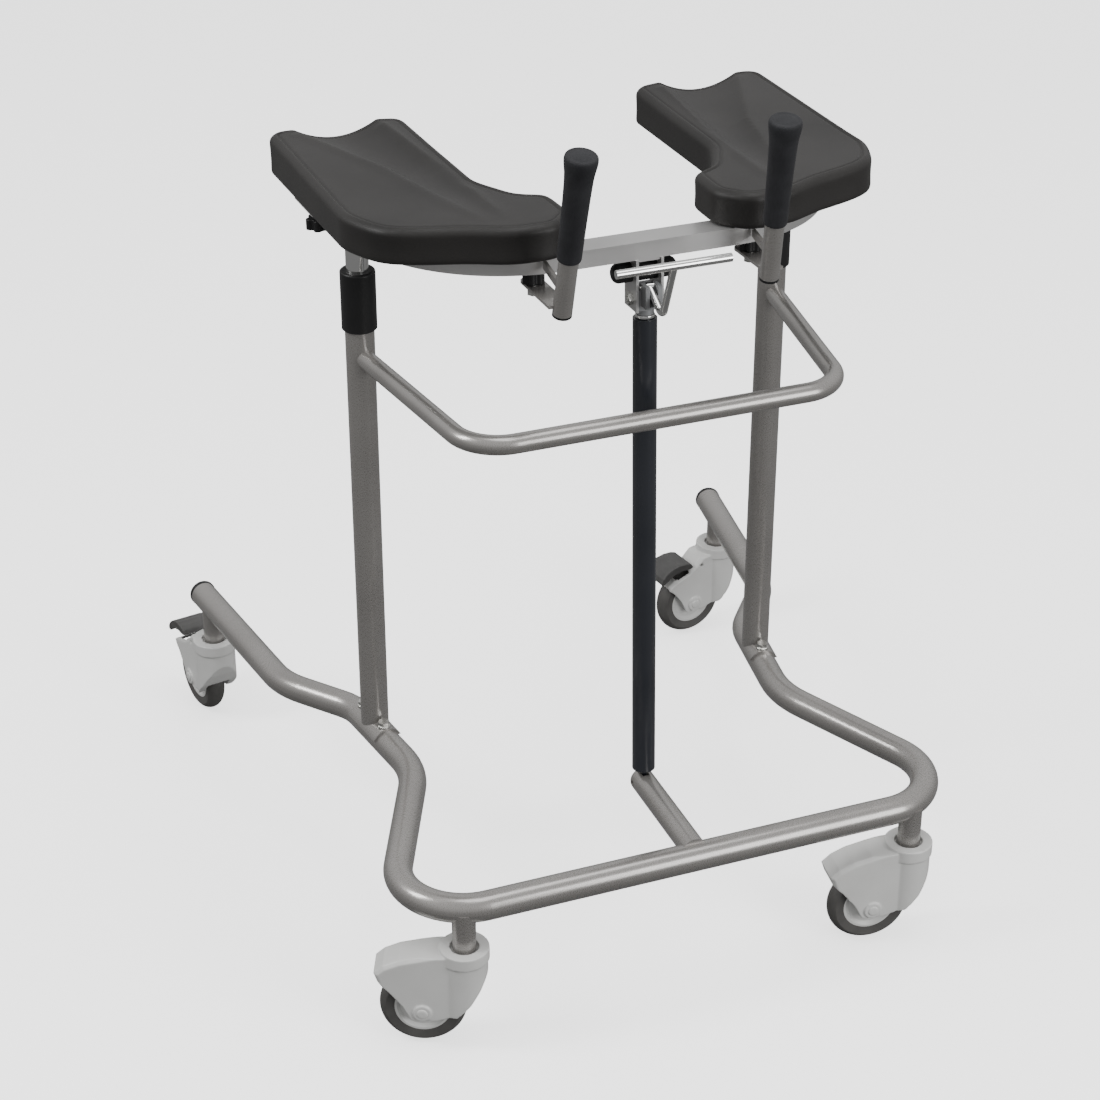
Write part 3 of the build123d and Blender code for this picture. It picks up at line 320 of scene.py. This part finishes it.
def arm_pad(name, side):
    edge = eased(resampled(rounded(PAD_OUTLINE, PAD_ROUNDS, 3.0), 3.0))
    ahead = np.roll(edge, -1, 0) - np.roll(edge, 1, 0)
    ahead /= np.linalg.norm(ahead, axis=1)[:, None]
    inward = np.stack([ahead[:, 1], -ahead[:, 0]], 1)
    area = np.sum(edge[:, 0] * np.roll(edge[:, 1], -1) - np.roll(edge[:, 0], -1) * edge[:, 1])
    if area > 0:
        inward = -inward
    count = len(edge)
    flat = []

    def ring(inset, height):
        spot = edge + inward * inset
        flat.append(np.column_stack([spot, height * np.ones(count)]))

    ring(RIM, UNDER_LIFT + UNDER_R + 0.2)
    ring(RIM, UNDER_LIFT)
    ring(UNDER_R, UNDER_LIFT)
    for turn in (30, 60, 90):
        a = math.radians(turn)
        ring(UNDER_R * (1 - math.sin(a)), UNDER_LIFT + UNDER_R * (1 - math.cos(a)))
    top_edge = crown(edge[:, 0], edge[:, 1], np.zeros(count))
    side_from = UNDER_LIFT + UNDER_R
    for share in (0.2, 0.4, 0.6, 0.8, 1.0):
        waist = 0.5 * math.sin(math.pi * share)
        ring(waist, side_from + (top_edge - side_from) * share)
    for turn in (12, 24, 36, 48, 60, 72, 84, 90):
        inset = EDGE_R * (1 - math.cos(math.radians(turn)))
        spot = edge + inward * inset
        ring(inset, crown(spot[:, 0], spot[:, 1], np.full(count, inset)))
    for inset in (10.2, 11.2, 12.2, RIM):
        spot = edge + inward * inset
        ring(inset, crown(spot[:, 0], spot[:, 1], np.full(count, inset)))

    tree = kdtree.KDTree(count)
    for i, p in enumerate(edge):
        tree.insert((p[0], p[1], 0), i)
    tree.balance()
    rim = [tuple(p) for p in spot]
    grid = []
    for x in np.arange(80, 325, 3.0):
        for v in np.arange(-40, 395, 3.0):
            near, i, reach = tree.find((x, v, 0))
            if reach > RIM + 1.8 and np.dot(np.array([x, v]) - edge[i], inward[i]) > 0:
                grid.append((x, v))
    seeds = [Vector(p) for p in rim + grid]
    loop = [(i, (i + 1) % count) for i in range(count)]
    verts, _, faces, origin, _, _ = delaunay_2d_cdt(seeds, loop, [], 1, 1e-5)
    under, _, under_faces, under_origin, _, _ = delaunay_2d_cdt(seeds[:count], loop, [], 1, 1e-5)

    mesh = bmesh.new()

    def put(x, v, w):
        return mesh.verts.new(pad_origin + Vector((side * x * MM, 0, 0)) + pad_back * v * MM
                              + pad_up * (SEAT + w) * MM)

    laid = [[put(*row) for row in level] for level in flat]
    for low, high in zip(laid, laid[1:]):
        for i in range(count):
            j = (i + 1) % count
            mesh.faces.new((low[i], low[j], high[j], high[i]))
    filled = []
    for i, p in enumerate(verts):
        source = origin[i][0] if origin[i] else -1
        if 0 <= source < count:
            filled.append(laid[-1][source])
            continue
        reach = tree.find((p.x, p.y, 0))[2]
        filled.append(put(p.x, p.y, float(crown(np.array(p.x), np.array(p.y), np.array(reach)))))
    for f in faces:
        corners = [filled[i] for i in f]
        if len(set(corners)) == len(corners):
            mesh.faces.new(corners)
    for f in under_faces:
        corners = [laid[0][under_origin[i][0]] for i in f]
        if len(set(corners)) == len(corners):
            mesh.faces.new(corners)
    obj = piece("pad_foam_" + name, closed(mesh, "pad"), "pad_" + name, "pad_skin", "arm_pad_" + name)
    subdivided(obj)


for name, side in SIDES.items():
    arm_pad(name, side)


# ------------------------------------------------------------------ foam grips
# (distance up the grip, outside radius), millimetres
GRIP_LINE = [
    (0.0, 11.1), (0.0, 12.4), (0.8, 13.1), (2.5, 13.5), (8, 13.6), (30, 13.8), (55, 14.3),
    (80, 14.9), (98, 15.5), (107, 16.2), (114, 17.4), (119, 18.2), (123, 18.45), (126, 18.2),
    (127.6, 17.3), (128.2, 16.0), (127.9, 13.5), (128.1, 11.0), (128.6, 8.0), (128.6, 3.0), (128.6, 0.0),
]


def foam_grip(name):
    """A turned foam sleeve with a flared head, on the axis of the CAD grip."""
    cloud = np.array([v.co for v in nodes["grip_" + name].data.vertices])
    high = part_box("grip_" + name)[1]
    pin = np.array([v.co for v in nodes["handle_cap_" + name].data.vertices]).mean(0)
    tip = cloud[cloud[:, 2] > high.z - 6 * MM].mean(0)
    axis = Vector(tip - pin).normalized()
    for _ in range(3):
        along = (cloud - pin) @ np.array(axis)
        head = cloud[along > along.max() - 3 * MM].mean(0)
        foot = cloud[along < along.min() + 1 * MM].mean(0)
        axis = Vector(head - foot).normalized()
        pin = foot
    mesh = bmesh.new()
    turned(mesh, Vector(foot), axis, GRIP_LINE, 72)
    obj = piece("grip_foam_" + name, closed(mesh, "grip"), "handle_" + name, "grip_foam", "grip_" + name)
    subdivided(obj)


for name in SIDES:
    foam_grip(name)

# ------------------------------------------------------------------ moulded and cast parts
for name in CORNERS:
    moulded("fork_" + name, 1.0 * MM, 4)
for name in SIDES:
    moulded("pad_knob_" + name, 0.7 * MM, 4)
    moulded("handle_knob_" + name, 0.7 * MM, 4)

# ------------------------------------------------------------------ tube end caps and axle caps
# heading of the rear tubes, and profiles as (distance out, radius), millimetres
REAR_HEADING = (0.1429, 0.9897)
END_CAP_LINE = [
    (0.0, 15.4), (0.0, 17.7), (0.8, 18.0), (5.2, 18.0), (7.0, 17.2),
    (8.3, 14.5), (9.0, 9.0), (9.2, 4.0), (9.3, 0.0),
]
CAP_LIP = 3.5
AXLE_CAP_LINE = [(-1.0, 6.6), (0.3, 6.6), (1.0, 6.1), (1.4, 5.0), (1.5, 2.5), (1.5, 0.0)]
# half the width across each fork at its axle, millimetres
CHEEK = {"front": 24.5, "rear": 22.5}

mesh = bmesh.new()
ends = np.array([v.co for v in nodes["rear_end_caps"].data.vertices])
for side in (-1, 1):
    out = Vector((side * REAR_HEADING[0], REAR_HEADING[1], 0)).normalized()
    half = ends[ends[:, 0] * side > 0]
    reach = half @ np.array(out)
    lip = Vector(half[reach > reach.max() - 0.2 * MM].mean(0))
    turned(mesh, lip - out * CAP_LIP * MM, out, END_CAP_LINE)
piece("tube_end_caps", closed(mesh, "caps"), "base", "black_plastic", "rear_end_caps")

for name in CORNERS:
    hub = Vector(joints["roll_" + name]["pos_m"])
    across = Vector(joints["roll_" + name]["axis"])
    mesh = bmesh.new()
    for way in (-1, 1):
        start = hub + across * way * CHEEK[name.split("_")[0]] * MM
        turned(mesh, start, across * way, AXLE_CAP_LINE, 32)
    piece("axle_caps_" + name, closed(mesh, "caps"), "fork_" + name, "caster_grey")

# ------------------------------------------------------------------ brake pedals
# side profile of the foot pad, (distance along the trail from the swivel, height), millimetres
TREAD = [
    (54, 116), (58, 121.5), (66, 124), (78, 124.6), (90, 122), (100, 116.5), (107, 109.5), (110, 103),
    (108.5, 99.5), (104, 99.5), (97, 105), (88, 110.5), (75, 114), (60, 113.5),
]
TREAD_HALF = 22.4


def brake_pedal(name):
    """A flat foot pad whose root sits on the fork, rounded over as moulded plastic is."""
    stem = Vector(joints["swivel_rear_" + name]["pos_m"])
    hub = Vector(joints["roll_rear_" + name]["pos_m"])
    across = Vector(joints["roll_rear_" + name]["axis"])
    along = Vector((hub.x - stem.x, hub.y - stem.y, 0)).normalized()
    mesh = bmesh.new()

    sides = []
    for y in (-TREAD_HALF, TREAD_HALF):
        base = Vector((stem.x, stem.y, 0)) + across * y * MM
        sides.append([mesh.verts.new(base + along * d * MM + Vector((0, 0, z * MM))) for d, z in TREAD])
    for i in range(len(TREAD)):
        j = (i + 1) % len(TREAD)
        mesh.faces.new((sides[0][i], sides[0][j], sides[1][j], sides[1][i]))
    mesh.faces.new(sides[0])
    mesh.faces.new(sides[1][::-1])
    bmesh.ops.triangulate(mesh, faces=mesh.faces)
    made = softened(closed(mesh, "pedal"), 0.7 * MM, 7)
    piece("pedal_" + name, made, "brake_pedal_" + name, "pedal_grey", "brake_pedal_" + name)


for name in SIDES:
    brake_pedal(name)

# ------------------------------------------------------------------ floor, light, camera
FLOOR_REACH = 12
FLOOR_DROP = 0.5 * MM
corners = [(x * FLOOR_REACH, y * FLOOR_REACH, 0) for x, y in ((-1, -1), (1, -1), (1, 1), (-1, 1))]
floor_mesh = bpy.data.meshes.new("floor")
floor_mesh.from_pydata(corners, [], [(0, 1, 2, 3)])
floor = bpy.data.objects.new("floor", floor_mesh)
floor.location.z = -FLOOR_DROP
bpy.context.scene.collection.objects.link(floor)
floor.data.materials.append(surface("floor_pale", (0.86, 0.86, 0.86), (0.88, 0.88, 0.88), 0.85,
                                    grain=40, bump=0.0, mottle=1.5))
glow = floor.data.materials[0].node_tree.nodes["Principled BSDF"]
glow.inputs["Emission Color"].default_value = (1, 1, 1, 1)
glow.inputs["Emission Strength"].default_value = 1.6
floor.visible_diffuse = False
floor.visible_glossy = False

world = bpy.data.worlds.new("studio")
world.use_nodes = True
sky = world.node_tree
heading = sky.nodes.new("ShaderNodeTexCoord")
split = sky.nodes.new("ShaderNodeSeparateXYZ")
fade = sky.nodes.new("ShaderNodeValToRGB")
wire(sky, heading.outputs["Generated"], split.inputs["Vector"])
lift = sky.nodes.new("ShaderNodeMapRange")
lift.inputs["From Min"].default_value = -1.0
wire(sky, split.outputs["Z"], lift.inputs["Value"])
wire(sky, lift.outputs["Result"], fade.inputs["Fac"])
stops = [(0.0, 0.14), (0.46, 0.26), (0.58, 0.52), (0.78, 0.80), (1.0, 0.75)]
for i, (spot, level) in enumerate(stops):
    if i < 2:
        mark = fade.color_ramp.elements[i]
        mark.position = spot
    else:
        mark = fade.color_ramp.elements.new(spot)
    mark.color = (level, level, level, 1)
wire(sky, fade.outputs["Color"], sky.nodes["Background"].inputs["Color"])
sky.nodes["Background"].inputs["Strength"].default_value = 1.0
bpy.context.scene.world = world


def softbox(name, spot, aim, wide, high, power):
    light = bpy.data.lights.new(name, "AREA")
    light.shape = "RECTANGLE"
    light.size = wide
    light.size_y = high
    light.energy = power
    obj = bpy.data.objects.new(name, light)
    obj.location = spot
    obj.rotation_euler = (Vector(aim) - Vector(spot)).to_track_quat("-Z", "Y").to_euler()
    bpy.context.scene.collection.objects.link(obj)


softbox("overhead", (0.3, -0.4, 3.4), (0, 0, 0.5), 1.6, 1.6, 34)
softbox("key", (-2.3, 0.2, 2.5), (0, 0, 0.7), 0.7, 1.2, 46)
softbox("fill", (1.5, -3.0, 1.5), (0, 0, 0.5), 1.6, 1.8, 62)

lens = bpy.data.cameras.new("camera")
lens.lens = 84.56
lens.sensor_width = 36.0
camera = bpy.data.objects.new("camera", lens)
camera.location = (-1.05947, -2.68339, 1.99036)
camera.rotation_euler = (math.radians(60.795), 0, math.radians(-21.221))
bpy.context.scene.collection.objects.link(camera)
bpy.context.scene.camera = camera
